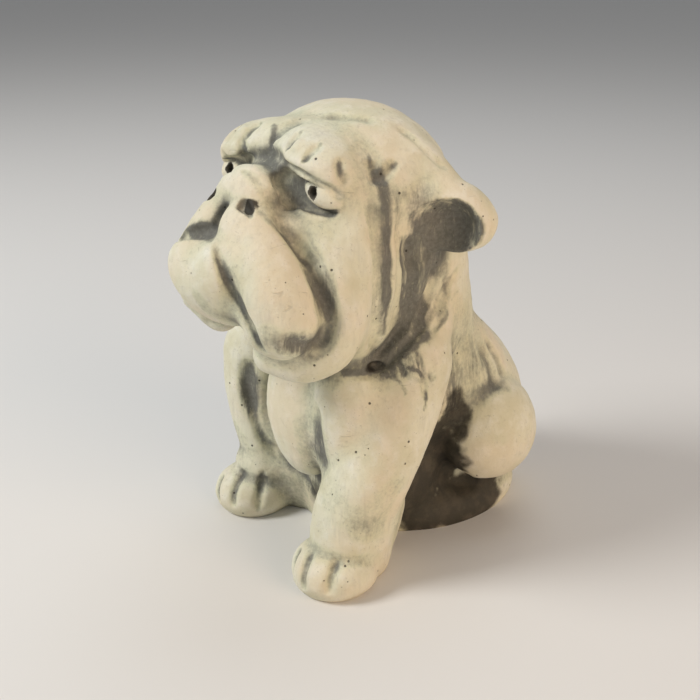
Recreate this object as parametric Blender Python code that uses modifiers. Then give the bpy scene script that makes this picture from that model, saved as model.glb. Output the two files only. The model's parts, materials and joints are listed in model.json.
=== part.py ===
"""Sitting bulldog garden statue, cast in one piece.

The statue faces -Y, its left side is +X and +Z is up; it stands on z = 0.
Sizes below are in millimetres and the finished mesh is in metres.
The figure is a list of rounded masses (ellipsoids and tapering limbs) that
run into one another, with hollows and creases pressed into them.  Spheres
of the same sizes are joined, hollowed and remeshed, and the skin is then
drawn onto the blended form before it is thinned to flat facets.
"""
import bmesh
import bpy
import numpy as np
from math import cos, radians, sin

# ---------------------------------------------------------------- sizes, mm
MM = 0.001
HEAD_AT = (5.0, -84.5, 229.5)    # middle of the brow, above the nose bridge
HEAD_TURN = 7.0                  # degrees the head is turned to its left
SKULL = (56.0, 46.0, 56.0)       # half width, depth and height of the skull
EYE_X = 34.0                     # eye centre from the middle of the head
EAR = (25.0, 15.0, 18.0)         # half sizes of the ear flap
EAR_AT = (59.5, 62.5, -30.5)     # middle of the flap, from the middle of the brow
LEG_X = 45.0                     # foreleg from the middle of the body
PAW = (23.0, 25.0, 17.0)         # half width, length and height of a paw
PAW_AT = (46.0, -77.0, 10.0)     # left forepaw
RIGHT_PAW_AT = (-50.0, -72.0, 10.0)
HAUNCH = (27.0, 31.5, 33.0)      # half sizes of a haunch
HAUNCH_AT = (35.0, 39.5, 55.0)
VOXEL = 2.6                      # remesh size
FACETS = 9600                    # triangles left in the finished solid


# ------------------------------------------------------- blended form
def turn_matrix(rx=0.0, ry=0.0, rz=0.0):
    """Rotation about X, then Y, then Z, in degrees."""
    a, b, c = radians(rx), radians(ry), radians(rz)
    x = np.array([[1, 0, 0], [0, cos(a), -sin(a)], [0, sin(a), cos(a)]])
    y = np.array([[cos(b), 0, sin(b)], [0, 1, 0], [-sin(b), 0, cos(b)]])
    z = np.array([[cos(c), -sin(c), 0], [sin(c), cos(c), 0], [0, 0, 1]])
    return z @ y @ x


def curve(points, per):
    """Catmull-Rom curve through rows of (x, y, z, more...)."""
    p = np.asarray(points, float)
    if len(p) < 3:
        t = np.linspace(0, 1, per + 1)[:, None]
        return p[0] * (1 - t) + p[-1] * t
    q = np.vstack([2 * p[0] - p[1], p, 2 * p[-1] - p[-2]])
    out = []
    for i in range(1, len(q) - 2):
        t = np.linspace(0, 1, per, endpoint=False)[:, None]
        a, b, c, d = q[i - 1:i + 3]
        out.append(0.5 * (2 * b + (c - a) * t + (2 * a - 5 * b + 4 * c - d) * t ** 2
                          + (3 * b - a - 3 * c + d) * t ** 3))
    return np.vstack(out + [p[-1:]])


class Frame:
    """A place and a turn that a group of masses is measured from."""

    def __init__(self, origin=(0, 0, 0), turn=np.eye(3)):
        self.origin, self.turn = np.asarray(origin, float), np.asarray(turn, float)

    def at(self, points):
        return np.asarray(points, float) @ self.turn.T + self.origin


class Form:
    """Masses, hollows and creases joined in order; value() is the signed distance."""

    def __init__(self):
        self.steps = []      # (how, blend, low corner, high corner, distance function)
        self.shapes = []     # the same masses as spheres, for the modelling tools
        self.band = None

    def ball(self, frame, centre, radii, turn=(0, 0, 0), blend=6.0, how="add", mirror=False):
        for side in (1, -1) if mirror else (1,):
            m = np.diag([float(side), 1, 1])
            r = m @ turn_matrix(*turn) @ m
            axes = (frame.turn @ r).astype(np.float32)
            c = frame.at(np.array(centre, float) * (side, 1, 1)).astype(np.float32)
            rad = np.asarray(radii, np.float32)
            reach = np.sqrt(axes ** 2 @ rad ** 2)

            def distance(p, axes=axes, c=c, rad=rad):
                a = (p - c) @ axes / rad
                n0 = np.sqrt((a * a).sum(1)) + 1e-6
                b = a / rad
                return n0 * (n0 - 1) / (np.sqrt((b * b).sum(1)) + 1e-9)

            self.steps.append((how, blend, c - reach, c + reach, distance))
            self.shapes.append((how, c, axes, rad))

    def limb(self, frame, rows, blend=6.0, how="add", mirror=False, per=6):
        """A round limb through rows of (x, y, z, radius)."""
        for side in (1, -1) if mirror else (1,):
            p = curve(rows, per)
            p[:, 0] *= side
            c, r = frame.at(p[:, :3]).astype(np.float32), p[:, 3].astype(np.float32)

            def distance(q, c=c, r=r):
                best = np.full(len(q), 1e6, np.float32)
                for a, b, ra, rb in zip(c[:-1], c[1:], r[:-1], r[1:]):
                    ab = b - a
                    t = np.clip((q - a) @ ab / (ab @ ab + 1e-9), 0, 1)
                    off = q - a - t[:, None] * ab
                    best = np.minimum(best, np.sqrt((off * off).sum(1)) - ra - t * (rb - ra))
                return best

            self.steps.append((how, blend, (c - r[:, None]).min(0), (c + r[:, None]).max(0), distance))
            for centre, radius in zip(c, r):
                self.shapes.append((how, centre, np.eye(3, dtype=np.float32), np.full(3, radius, np.float32)))

    def crease(self, frame, rows, width, depth, mirror=False, per=5):
        """A soft groove along a line laid on the skin, fading out at its ends."""
        for side in (1, -1) if mirror else (1,):
            p = curve(rows, per)
            p[:, 0] *= side
            c = self.snap(frame.at(p[:, :3]))
            u = np.linspace(0, 1, len(c))
            fade = np.clip(np.minimum(u, 1 - u) / 0.22, 0, 1)
            fade = (fade * fade * (3 - 2 * fade)).astype(np.float32)

            def push(q, c=c, fade=fade):
                best = np.full(len(q), 1e6, np.float32)
                weight = np.zeros(len(q), np.float32)
                for a, b, fa, fb in zip(c[:-1], c[1:], fade[:-1], fade[1:]):
                    ab = b - a
                    t = np.clip((q - a) @ ab / (ab @ ab + 1e-9), 0, 1)
                    off = q - a - t[:, None] * ab
                    d = (off * off).sum(1)
                    near = d < best
                    best = np.where(near, d, best)
                    weight = np.where(near, fa + t * (fb - fa), weight)
                return depth * weight * np.exp(-best / width ** 2)

            self.steps.append(("press", 0.0, c.min(0) - 3 * width, c.max(0) + 3 * width, push))

    def group(self, other, blend):
        low = np.min([s[2] for s in other.steps if s[0] == "add"], axis=0)
        high = np.max([s[3] for s in other.steps if s[0] == "add"], axis=0)
        self.steps.append(("add", blend, low, high, lambda p: other.value(p, self.band)))
        self.shapes += other.shapes

    def snap(self, points):
        """The points moved onto the skin."""
        c = np.asarray(points, np.float32)
        for _ in range(4):
            g, f = self.slope(c, 0.5)
            c = c - (f / ((g * g).sum(1) + 1e-6))[:, None] * g
        return c

    def slope(self, p, e=0.35, band=None):
        ways = np.array([[1, -1, -1], [-1, -1, 1], [-1, 1, -1], [1, 1, 1]], np.float32)
        f = np.stack([self.value(p + w * e, band) for w in ways])
        return (f[:, :, None] * ways[:, None, :]).sum(0) / (4 * e), f.mean(0)

    def value(self, p, band=None):
        """Signed distance to the skin, negative inside the casting."""
        p = np.asarray(p, np.float32)
        self.band = band
        d = np.full(len(p), 1000.0 if band is None else 30.0, np.float32)
        for how, blend, low, high, distance in self.steps:
            if band is None and how != "press":
                near = np.arange(len(p))
            else:
                m = 0.0 if how == "press" else band + blend
                near = np.nonzero(((p > low - m) & (p < high + m)).all(1))[0]
                if not len(near):
                    continue
            a, g = d[near], distance(p[near])
            if how == "press":
                d[near] = a + g
            else:
                g = -g if how == "cut" else g
                h = np.maximum(blend - np.abs(a - g), 0) / max(blend, 1e-6)
                round_off = h * h * blend * 0.25
                d[near] = np.maximum(a, g) + round_off if how == "cut" else np.minimum(a, g) - round_off
        return d


# ------------------------------------------------------- the figure
BODY = Frame()
HEAD = Frame(HEAD_AT, turn_matrix(0, 0, HEAD_TURN))
TOES = [[(33, -92, 21), (36, -98, 15), (38, -101, 6)], [(44, -89, 23), (48, -97, 16), (51, -101, 6)],
        [(58, -83, 24), (61, -90, 17), (63, -94, 7)], [(-60, -88, 20), (-56, -94, 14), (-52, -97, 6)],
        [(-46, -81, 28), (-43, -89, 18), (-39, -94, 8)], [(-34, -74, 27), (-31, -80, 17), (-27, -84, 8)]]


def torso(f):
    f.ball(BODY, (0, -28, 98), (46, 44, 60), (-10, 0, 0), 0)                                   # ribs
    f.limb(BODY, [(0, -15, 100, 42), (0, 18, 86, 44), (0, 38, 64, 45), (0, 46, 40, 41)], 20)    # back to rump
    f.limb(BODY, [(1, -9, 142, 45), (0, -16, 172, 48)], 25)                                     # neck
    f.ball(BODY, (2, -66, 86), (29, 19, 42), (0, 0, 0), 5)                                      # chest
    f.ball(BODY, (35, -60, 88), (19, 21, 44), (0, 0, 8), 5)                                     # its left edge
    legs = Form()
    legs.limb(BODY, [(38, -18, 136, 18), (46, -34, 108, 22), (48, -47, 84, 22), (48, -58, 64, 21),
                     (46, -68, 42, 19), (LEG_X, -71, 30, 18)], 10)                              # left foreleg
    legs.limb(BODY, [(46, -26, 118, 18), (51, -42, 80, 16), (50.5, -49, 58, 14.5), (49, -54, 35, 13),
                     (47.5, -58, 15, 12.5)], 8)                                                 # its broad rear half
    legs.limb(BODY, [(-42, -24, 136, 20), (-59, -57, 106, 20), (-60, -62, 84, 20), (-57, -64, 62, 17.5),
                     (-50, -66, 42, 13.5), (-48, -66, 28, 13)], 10)                             # right foreleg
    for side, (x, y, z) in ((1, PAW_AT), (-1, RIGHT_PAW_AT)):
        legs.ball(BODY, (x - side, y + 7, 27), (18, 18, 15), (0, 0, 0), 4)                      # wrist
        legs.limb(BODY, [(x - side, y + 15, 20, 16), (x - 2 * side, y + 19, 8, 15)], 6)
        legs.ball(BODY, (x, y, z), PAW, (0, 0, 0), 3)
    f.group(legs, 4)
    f.ball(BODY, (36, -54, 92), (22, 22, 40), (10, 0, 0), 8)                                    # left shoulder runs into the chest
    f.ball(BODY, (0, -44, 28), (38, 14, 40), (0, 0, 0), 8)                                      # web between the forelegs
    f.ball(BODY, (0, -14, 34), (36, 40, 46), (0, 0, 0), 10)                                     # belly down to the ground
    f.ball(BODY, (34, -46, 44), (20, 20, 50), (0, 0, 0), 8, mirror=True)                        # forelegs backed by the body
    f.ball(BODY, HAUNCH_AT, HAUNCH, (0, 0, 0), 3, mirror=True)
    f.ball(BODY, (0, 26, 4), (43, 60, 24), (0, 0, 0), 8)                                        # seat


def head():
    g = Form()
    g.ball(HEAD, (0, 48, -38), SKULL, (0, 0, 0), 16)
    g.ball(HEAD, (0, 49, -19.5), (54, 46, 33.5), (0, 0, 0), 16)                                   # crown
    g.ball(HEAD, (0, 42, -66), (52, 44, 42), (0, 0, 0), 16)                                     # throat
    g.ball(HEAD, (20, 10, -3), (26, 17, 15), (0, 12, -12), 12, mirror=True)                     # brows
    g.ball(HEAD, (33, 20, -56), (26, 28, 50), (0, 0, 0), 12, mirror=True)                       # cheeks
    g.ball(HEAD, (0, -6, -24), (20, 18, 18), (0, 0, 0), 8)                                      # muzzle
    g.limb(HEAD, [(30, 0, -32, 8), (41, 1, -48, 11), (47.5, 2, -66, 13), (45, -3, -84, 13.5),
                  (35, -12, -93, 13), (24, -22, -92, 10)], 6)                                   # left jowl
    g.limb(HEAD, [(-30, -1, -32, 8), (-40, -1, -48, 11), (-46, -1, -64, 13), (-43, -4, -78, 13),
                  (-32, -12, -84, 12), (-22, -20, -84, 10)], 6)                                 # right jowl
    chin = Form()
    chin.ball(HEAD, (0, -35, -53), (25, 21, 18), (20, 0, 0), 4)
    chin.ball(HEAD, (12, -38, -47), (12, 14, 14), (15, 0, 0), 8, mirror=True)
    chin.ball(HEAD, (0, -27, -63), (28, 19, 16), (25, 0, 0), 10)
    g.group(chin, 2)
    g.limb(HEAD, [(-22, -36, -40, 2), (-12, -45, -33, 3.5), (0, -46, -30, 3.5), (7, -45, -31, 2.5)],
           2.5, "cut")                                                                          # mouth
    g.ball(HEAD, (17, -24, -47), (15, 18, 30), (6, -24, 0), 4, mirror=True)                     # upper lips
    g.ball(HEAD, (32, -25, -65), (23, 20, 24), (0, -18, 0), 10)
    g.ball(HEAD, (-28, -23, -63), (19, 18, 22), (0, 18, 0), 10)
    g.ball(HEAD, (20, -8, -36), (12, 10, 12), (0, 0, 0), 6, mirror=True)
    g.ball(HEAD, (1, -15.5, -16), (17, 12, 12.5), (0, 0, 0), 4)                                 # nose
    g.limb(HEAD, [(8, -19, -20, 8), (12, -22, -28, 9), (17, -23, -38, 10)], 6, mirror=True)     # nose runs into the lips
    g.limb(HEAD, [(-20, -42, -38, 1.2), (-14, -43, -35.5, 3.0), (-6, -41.5, -32.5, 4.0), (0, -40, -31, 3.6),
                  (5, -42, -33, 1.4)], 1.5, "cut")                                              # open corner of the mouth
    g.limb(HEAD, [(42, 56, -6, 9), (50, 61, -16, 11)], 10, mirror=True)                         # root of the ear
    g.ball(HEAD, EAR_AT, EAR, (0, 20, 48), 6, mirror=True)
    g.limb(HEAD, [(60, 43, -31, 11), (69.5, 53, -35, 14.5), (62, 48, -48, 11)], 2, "cut", mirror=True)   # hollow under the ear flap
    g.limb(HEAD, [(17, -7, -9, 6), (25, -6, -13, 7.5), (33, -4, -15.5, 7.5), (39.5, -1, -17.5, 5.5)], 2, "cut", mirror=True)
    g.ball(HEAD, (EYE_X, 4.5, -14.3), (12.5, 8, 6.8), (0, 20, 0), 0.5, mirror=True)               # eyeballs
    return g


def carving(f):
    """Folds and grooves large enough to change the outline of the skin."""
    f.crease(HEAD, [(-24, -3, -6), (-7, -5, -2), (5, -5, 1), (20, -6, -1)], 2.4, 3.0)                      # stop
    f.crease(HEAD, [(1, -5, 1), (1, -2, 8), (2, 6, 13), (6, 18, 16)], 3.2, 3.0)                             # middle of the forehead
    f.crease(HEAD, [(50, 17, -12), (57, 19, -26), (59, 19.5, -41), (59, 20, -56), (58, 20.5, -71), (53, 23, -89), (46, 28, -102)],
             4.2, 9.0, mirror=True)                                                                         # behind the cheek
    f.crease(HEAD, [(54, 33, -20), (57, 35, -45), (56, 35, -70), (50, 38, -94)], 10.0, 6.0, mirror=True)
    f.crease(HEAD, [(55, 42, -38), (55, 44, -60), (51, 45, -85)], 3.4, 5.5, mirror=True)
    f.crease(HEAD, [(18, -21, -24), (24, -17, -31), (31, -13, -40), (40, -11, -48), (47, -10, -56), (52, -10, -65),
                    (53, -11, -73), (49, -16, -81), (43, -27, -84)], 3.4, 8.0, mirror=True)                 # round the upper lip
    f.crease(HEAD, [(9, -42, -33), (19, -46, -41), (24, -45, -52), (31, -44, -62), (37, -41, -73), (38, -36, -84)],
             2.4, 6.0, mirror=True)                                                                         # chin against the lips
    for line in TOES:                                                                                       # toes
        f.crease(BODY, line, 2.4, 4.0)
    f.crease(BODY, [(36, 18, 128), (42, -2, 104), (43, -14, 76), (40, -26, 44)], 5, 4, mirror=True)         # behind the shoulder
    f.crease(BODY, [(46, 0, 34), (55, 12, 20), (58, 30, 17), (52, 52, 17)], 6, 6, mirror=True)              # under the haunch
    f.crease(BODY, [(30, -84, 106), (33, -83, 90), (35, -81, 76), (35, -78, 62)], 4.5, 5)                   # chest against the left foreleg
    f.crease(BODY, [(-42, -80, 100), (-45, -77, 84), (-44, -76, 66)], 4, 5)                                 # chest against the right foreleg


def statue_form():
    f = Form()
    torso(f)
    f.group(head(), 3)
    carving(f)
    return f


# ------------------------------------------------------- modelling
def new_object(name, mesh, collection):
    o = bpy.data.objects.new(name, mesh)
    collection.objects.link(o)
    return o


def spheres(name, shapes, collection):
    """One mesh of copies of a round ball, each stretched and turned to its mass."""
    bm = bmesh.new()
    bmesh.ops.create_icosphere(bm, subdivisions=4, radius=1.0)
    unit = np.array([v.co[:] for v in bm.verts], np.float32)
    faces = np.array([[v.index for v in f.verts] for f in bm.faces], np.int32)
    bm.free()
    points = np.concatenate([(unit * rad) @ axes.T + centre for _, centre, axes, rad in shapes])
    corners = np.concatenate([faces + i * len(unit) for i in range(len(shapes))])
    mesh = bpy.data.meshes.new(name)
    mesh.vertices.add(len(points))
    mesh.vertices.foreach_set("co", (points * MM).astype(np.float32).ravel())
    mesh.loops.add(corners.size)
    mesh.loops.foreach_set("vertex_index", corners.ravel())
    mesh.polygons.add(len(corners))
    mesh.polygons.foreach_set("loop_start", np.arange(0, corners.size, 3, dtype=np.int32))
    mesh.update(calc_edges=True)
    return new_object(name, mesh, collection)


def apply_modifiers(o):
    graph = bpy.context.evaluated_depsgraph_get()
    graph.update()
    mesh = bpy.data.meshes.new_from_object(o.evaluated_get(graph))
    o.modifiers.clear()
    o.data = mesh


def remesh(o, size):
    m = o.modifiers.new("skin", "REMESH")
    m.mode = "VOXEL"
    m.voxel_size = size * MM
    apply_modifiers(o)


def draw_onto(o, form, rounds):
    """Moves the skin onto the blended form, smoothing between the moves."""
    n = len(o.data.vertices)
    co = np.empty(n * 3, np.float32)
    o.data.vertices.foreach_get("co", co)
    p = co.reshape(-1, 3) / MM
    ends = np.empty(len(o.data.edges) * 2, np.int32)
    o.data.edges.foreach_get("vertices", ends)
    a, b = ends.reshape(-1, 2).T
    count = np.bincount(a, minlength=n) + np.bincount(b, minlength=n)
    for k in range(rounds):
        if k:
            mean = np.stack([np.bincount(a, p[b, i], n) + np.bincount(b, p[a, i], n) for i in range(3)], 1)
            p = (p + 0.5 * (mean / count[:, None] - p)).astype(np.float32)
        for _ in range(2):
            g, f = form.slope(p, 0.4, 14.0)
            step = -(f / ((g * g).sum(1) + 1e-6))[:, None] * g
            size = np.sqrt((step ** 2).sum(1)) + 1e-9
            p = p + step * np.minimum(1, 3.0 / size)[:, None]
    o.data.vertices.foreach_set("co", (p * MM).astype(np.float32).ravel())
    o.data.update()


def flat_base(o):
    """Cuts the casting off at the ground and closes it with a flat face."""
    bm = bmesh.new()
    bm.from_mesh(o.data)
    cut = bmesh.ops.bisect_plane(bm, geom=bm.verts[:] + bm.edges[:] + bm.faces[:], dist=1e-5,
                                 plane_co=(0, 0, 0), plane_no=(0, 0, -1), clear_outer=True)
    rim = [e for e in cut["geom_cut"] if isinstance(e, bmesh.types.BMEdge)]
    for v in bm.verts:
        if v.co.z < 2e-5:
            v.co.z = 0.0
    bmesh.ops.contextual_create(bm, geom=rim)
    bmesh.ops.triangulate(bm, faces=bm.faces[:])
    bmesh.ops.recalc_face_normals(bm, faces=bm.faces[:])
    bm.to_mesh(o.data)
    bm.free()


def centre_on_ground(o):
    """Puts the middle of the casting's outline over the origin."""
    co = np.empty(len(o.data.vertices) * 3, np.float32)
    o.data.vertices.foreach_get("co", co)
    p = co.reshape(-1, 3)
    p[:, :2] -= (p[:, :2].min(0) + p[:, :2].max(0)) / 2
    o.data.vertices.foreach_set("co", p.ravel())
    o.data.update()


def main():
    for o in list(bpy.data.objects):
        bpy.data.objects.remove(o)
    statue = bpy.data.collections.new("bulldog_garden_statue")
    helpers = bpy.data.collections.new("hollow_cutters")
    for c in (statue, helpers):
        bpy.context.scene.collection.children.link(c)

    form = statue_form()
    dog = spheres("bulldog_statue", [s for s in form.shapes if s[0] == "add"], statue)
    remesh(dog, VOXEL)
    cutter = spheres("face_and_ear_hollows", [s for s in form.shapes if s[0] == "cut"], helpers)
    remesh(cutter, 1.6)
    cutter.hide_render = True
    cutter.display_type = "WIRE"
    hollow = dog.modifiers.new("hollows", "BOOLEAN")
    hollow.operation = "DIFFERENCE"
    hollow.solver = "EXACT"
    hollow.object = cutter
    apply_modifiers(dog)
    remesh(dog, VOXEL)
    draw_onto(dog, form, 4)

    thin = dog.modifiers.new("facets", "DECIMATE")
    thin.ratio = min(1.0, FACETS / (len(dog.data.polygons) * 2))
    thin.use_collapse_triangulate = True
    apply_modifiers(dog)
    flat_base(dog)
    centre_on_ground(dog)
    dog.data.polygons.foreach_set("use_smooth", np.ones(len(dog.data.polygons), bool))

    stone = bpy.data.materials.new("cast_stone")
    stone.use_nodes = True
    shader = stone.node_tree.nodes["Principled BSDF"]
    shader.inputs["Base Color"].default_value = (0.62, 0.58, 0.48, 1)
    shader.inputs["Roughness"].default_value = 0.85
    dog.data.materials.clear()
    dog.data.materials.append(stone)


main()
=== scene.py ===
"""Looks of the sitting bulldog garden statue: one casting in aged cast stone.

The CAD solid gives the place and the size.  Here the same blended masses are
drawn at a fine pitch, with the eyes, nostrils, toes, folds and cracks carved
in and the small lumps of the casting, and the surface is given an aged
cast-stone finish, with painted shade and shadow in its hollows and a painted
highlight on its ridges.  Sizes of the form are in millimetres.
"""
import json
from math import cos, radians, sin

import bmesh
import bpy
import numpy as np
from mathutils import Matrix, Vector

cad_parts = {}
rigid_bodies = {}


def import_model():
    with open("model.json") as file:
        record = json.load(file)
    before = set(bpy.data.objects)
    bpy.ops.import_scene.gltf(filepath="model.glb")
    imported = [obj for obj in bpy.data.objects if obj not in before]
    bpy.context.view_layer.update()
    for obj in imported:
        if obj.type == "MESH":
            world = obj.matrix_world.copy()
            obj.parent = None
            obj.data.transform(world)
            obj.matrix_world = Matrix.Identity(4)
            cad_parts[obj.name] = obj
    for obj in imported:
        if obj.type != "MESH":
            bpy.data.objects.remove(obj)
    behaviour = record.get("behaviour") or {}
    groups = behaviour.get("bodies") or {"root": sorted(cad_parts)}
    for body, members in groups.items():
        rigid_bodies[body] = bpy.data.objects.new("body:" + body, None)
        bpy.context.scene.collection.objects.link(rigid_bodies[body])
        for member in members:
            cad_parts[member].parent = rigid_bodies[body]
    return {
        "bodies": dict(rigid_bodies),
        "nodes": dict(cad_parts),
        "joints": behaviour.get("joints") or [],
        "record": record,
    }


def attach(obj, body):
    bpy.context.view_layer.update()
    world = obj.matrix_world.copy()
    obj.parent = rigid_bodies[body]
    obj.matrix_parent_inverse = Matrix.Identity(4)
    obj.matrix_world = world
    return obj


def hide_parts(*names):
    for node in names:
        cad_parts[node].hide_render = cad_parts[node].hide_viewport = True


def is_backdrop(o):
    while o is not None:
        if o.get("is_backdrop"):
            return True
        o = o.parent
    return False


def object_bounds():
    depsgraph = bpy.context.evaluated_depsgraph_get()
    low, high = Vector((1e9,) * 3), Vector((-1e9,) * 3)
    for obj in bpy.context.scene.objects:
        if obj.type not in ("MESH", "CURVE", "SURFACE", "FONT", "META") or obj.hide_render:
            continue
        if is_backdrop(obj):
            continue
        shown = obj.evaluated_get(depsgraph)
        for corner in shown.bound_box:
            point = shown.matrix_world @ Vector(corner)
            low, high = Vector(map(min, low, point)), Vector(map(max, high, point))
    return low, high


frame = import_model()
cad_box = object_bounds()

MM = 0.001
PITCH = 1.15      # grid the skin is drawn from
MOST = 192000   # triangles of the finished casting

# ---------------------------------------------------------------- sizes, mm
HEAD_AT = (5.0, -84.5, 229.5)    # middle of the brow, above the nose bridge
HEAD_TURN = 7.0                  # degrees the head is turned to its left
SKULL = (56.0, 46.0, 56.0)       # half width, depth and height of the skull
EYE_X = 34.0                     # eye centre from the middle of the head
EAR = (25.0, 15.0, 18.0)         # half sizes of the ear flap
EAR_AT = (59.5, 62.5, -30.5)     # middle of the flap, from the middle of the brow
LEG_X = 45.0                     # foreleg from the middle of the body
PAW = (23.0, 25.0, 17.0)         # half width, length and height of a paw
PAW_AT = (46.0, -77.0, 10.0)     # left forepaw
RIGHT_PAW_AT = (-50.0, -72.0, 10.0)
HAUNCH = (27.0, 31.5, 33.0)      # half sizes of a haunch
HAUNCH_AT = (35.0, 39.5, 55.0)


# ------------------------------------------------------- blended form
def turn_matrix(rx=0.0, ry=0.0, rz=0.0):
    """Rotation about X, then Y, then Z, in degrees."""
    a, b, c = radians(rx), radians(ry), radians(rz)
    x = np.array([[1, 0, 0], [0, cos(a), -sin(a)], [0, sin(a), cos(a)]])
    y = np.array([[cos(b), 0, sin(b)], [0, 1, 0], [-sin(b), 0, cos(b)]])
    z = np.array([[cos(c), -sin(c), 0], [sin(c), cos(c), 0], [0, 0, 1]])
    return z @ y @ x


def curve(points, per):
    """Catmull-Rom curve through rows of (x, y, z, more...)."""
    p = np.asarray(points, float)
    if len(p) < 3:
        t = np.linspace(0, 1, per + 1)[:, None]
        return p[0] * (1 - t) + p[-1] * t
    q = np.vstack([2 * p[0] - p[1], p, 2 * p[-1] - p[-2]])
    out = []
    for i in range(1, len(q) - 2):
        t = np.linspace(0, 1, per, endpoint=False)[:, None]
        a, b, c, d = q[i - 1:i + 3]
        out.append(0.5 * (2 * b + (c - a) * t + (2 * a - 5 * b + 4 * c - d) * t ** 2
                          + (3 * b - a - 3 * c + d) * t ** 3))
    return np.vstack(out + [p[-1:]])


class Frame:
    """A place and a turn that a group of masses is measured from."""

    def __init__(self, origin=(0, 0, 0), turn=np.eye(3)):
        self.origin, self.turn = np.asarray(origin, float), np.asarray(turn, float)

    def at(self, points):
        return np.asarray(points, float) @ self.turn.T + self.origin


class Form:
    """Masses, hollows and creases joined in order; value() is the signed distance."""

    def __init__(self):
        self.steps = []      # (how, blend, low corner, high corner, distance function)
        self.shapes = []     # the same masses as spheres
        self.band = None
        self.grooves = []    # (low corner, high corner, depth function) of the narrow grooves

    def ball(self, frame, centre, radii, turn=(0, 0, 0), blend=6.0, how="add", mirror=False):
        for side in (1, -1) if mirror else (1,):
            m = np.diag([float(side), 1, 1])
            r = m @ turn_matrix(*turn) @ m
            axes = (frame.turn @ r).astype(np.float32)
            c = frame.at(np.array(centre, float) * (side, 1, 1)).astype(np.float32)
            rad = np.asarray(radii, np.float32)
            reach = np.sqrt(axes ** 2 @ rad ** 2)

            def distance(p, axes=axes, c=c, rad=rad):
                a = (p - c) @ axes / rad
                n0 = np.sqrt((a * a).sum(1)) + 1e-6
                b = a / rad
                return n0 * (n0 - 1) / (np.sqrt((b * b).sum(1)) + 1e-9)

            self.steps.append((how, blend, c - reach, c + reach, distance))
            self.shapes.append((how, c, axes, rad))

    def limb(self, frame, rows, blend=6.0, how="add", mirror=False, per=6):
        """A round limb through rows of (x, y, z, radius)."""
        for side in (1, -1) if mirror else (1,):
            p = curve(rows, per)
            p[:, 0] *= side
            c, r = frame.at(p[:, :3]).astype(np.float32), p[:, 3].astype(np.float32)

            def distance(q, c=c, r=r):
                best = np.full(len(q), 1e6, np.float32)
                for a, b, ra, rb in zip(c[:-1], c[1:], r[:-1], r[1:]):
                    ab = b - a
                    t = np.clip((q - a) @ ab / (ab @ ab + 1e-9), 0, 1)
                    off = q - a - t[:, None] * ab
                    best = np.minimum(best, np.sqrt((off * off).sum(1)) - ra - t * (rb - ra))
                return best

            self.steps.append((how, blend, (c - r[:, None]).min(0), (c + r[:, None]).max(0), distance))
            for centre, radius in zip(c, r):
                self.shapes.append((how, centre, np.eye(3, dtype=np.float32), np.full(3, radius, np.float32)))

    def crease(self, frame, rows, width, depth, mirror=False, per=5):
        """A soft groove along a line laid on the skin, fading out at its ends."""
        for side in (1, -1) if mirror else (1,):
            p = curve(rows, per)
            p[:, 0] *= side
            c = self.snap(frame.at(p[:, :3]))
            u = np.linspace(0, 1, len(c))
            fade = np.clip(np.minimum(u, 1 - u) / 0.22, 0, 1)
            fade = (fade * fade * (3 - 2 * fade)).astype(np.float32)

            def push(q, c=c, fade=fade):
                best = np.full(len(q), 1e6, np.float32)
                weight = np.zeros(len(q), np.float32)
                for a, b, fa, fb in zip(c[:-1], c[1:], fade[:-1], fade[1:]):
                    ab = b - a
                    t = np.clip((q - a) @ ab / (ab @ ab + 1e-9), 0, 1)
                    off = q - a - t[:, None] * ab
                    d = (off * off).sum(1)
                    near = d < best
                    best = np.where(near, d, best)
                    weight = np.where(near, fa + t * (fb - fa), weight)
                return depth * weight * np.exp(-best / width ** 2)

            self.steps.append(("press", 0.0, c.min(0) - 3 * width, c.max(0) + 3 * width, push))
            if depth > 0 and width < 5:
                self.grooves.append(self.steps[-1][2:])

    def group(self, other, blend):
        low = np.min([s[2] for s in other.steps if s[0] == "add"], axis=0)
        high = np.max([s[3] for s in other.steps if s[0] == "add"], axis=0)
        self.steps.append(("add", blend, low, high, lambda p: other.value(p, self.band)))
        self.shapes += other.shapes

    def carved(self, p):
        """How deep the narrow grooves cut at each point, in mm."""
        total = np.zeros(len(p), np.float32)
        for low, high, depth in self.grooves:
            near = np.nonzero(((p > low) & (p < high)).all(1))[0]
            if len(near):
                total[near] += depth(p[near])
        return total

    def snap(self, points):
        """The points moved onto the skin."""
        c = np.asarray(points, np.float32)
        for _ in range(4):
            g, f = self.slope(c, 0.5)
            c = c - (f / ((g * g).sum(1) + 1e-6))[:, None] * g
        return c

    def slope(self, p, e=0.35, band=None):
        ways = np.array([[1, -1, -1], [-1, -1, 1], [-1, 1, -1], [1, 1, 1]], np.float32)
        f = np.stack([self.value(p + w * e, band) for w in ways])
        return (f[:, :, None] * ways[:, None, :]).sum(0) / (4 * e), f.mean(0)

    def value(self, p, band=None):
        """Signed distance to the skin, negative inside the casting."""
        p = np.asarray(p, np.float32)
        self.band = band
        plow, phigh = p.min(0), p.max(0)
        d = np.full(len(p), 1000.0 if band is None else 30.0, np.float32)
        for how, blend, low, high, distance in self.steps:
            if band is None and how != "press":
                near = np.arange(len(p))
            else:
                m = 0.0 if how == "press" else band + blend
                if (plow > high + m).any() or (phigh < low - m).any():
                    continue
                near = np.nonzero(((p > low - m) & (p < high + m)).all(1))[0]
                if not len(near):
                    continue
            a, g = d[near], distance(p[near])
            if how == "press":
                d[near] = a + g
            else:
                g = -g if how == "cut" else g
                h = np.maximum(blend - np.abs(a - g), 0) / max(blend, 1e-6)
                round_off = h * h * blend * 0.25
                d[near] = np.maximum(a, g) + round_off if how == "cut" else np.minimum(a, g) - round_off
        return d


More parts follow.
